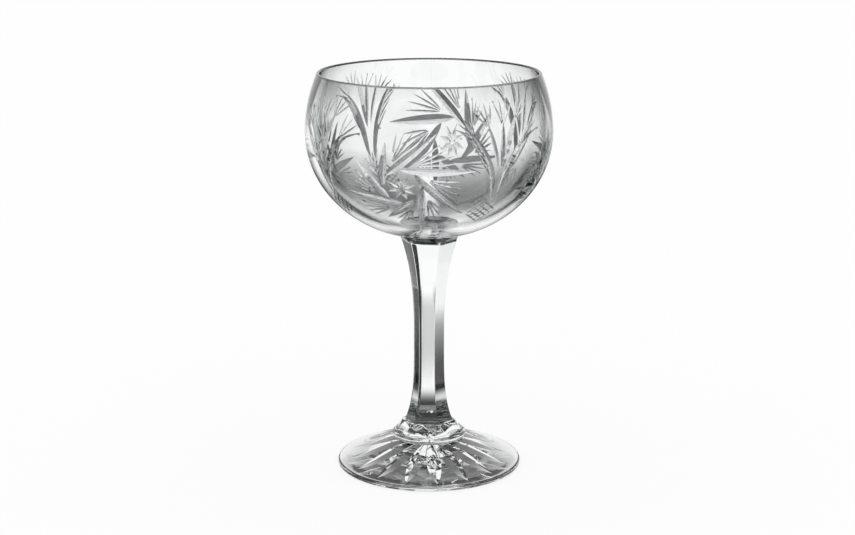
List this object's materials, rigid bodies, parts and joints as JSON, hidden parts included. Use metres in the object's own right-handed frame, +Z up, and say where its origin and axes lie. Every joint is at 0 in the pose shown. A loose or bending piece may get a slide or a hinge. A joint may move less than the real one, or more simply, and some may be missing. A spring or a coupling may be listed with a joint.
{
  "type": "champagne glass",
  "caption": "Stemmed cut-crystal champagne glass: round bowl with pinwheel and sheaf cuts, faceted stem, collar and star-cut foot; holds a drink and stands on a table.",
  "frame": {"origin": "centre of the foot on the plane that the glass stands on", "axes": "+Z up along the axis of the glass, -Y towards the pictured side"},
  "size_m": [0.0914, 0.0914, 0.15],
  "materials": {
    "crystal_bowl": "polished clear lead crystal with mitre cuts",
    "crystal_stem": "polished clear lead crystal with flat cut facets",
    "crystal_collar": "polished clear lead crystal",
    "crystal_foot": "polished clear lead crystal with a star cut below"
  },
  "bodies": {
    "root": {"bowl": "crystal_bowl", "stem": "crystal_stem", "collar": "crystal_collar", "foot": "crystal_foot"}
  },
  "joints": []
}
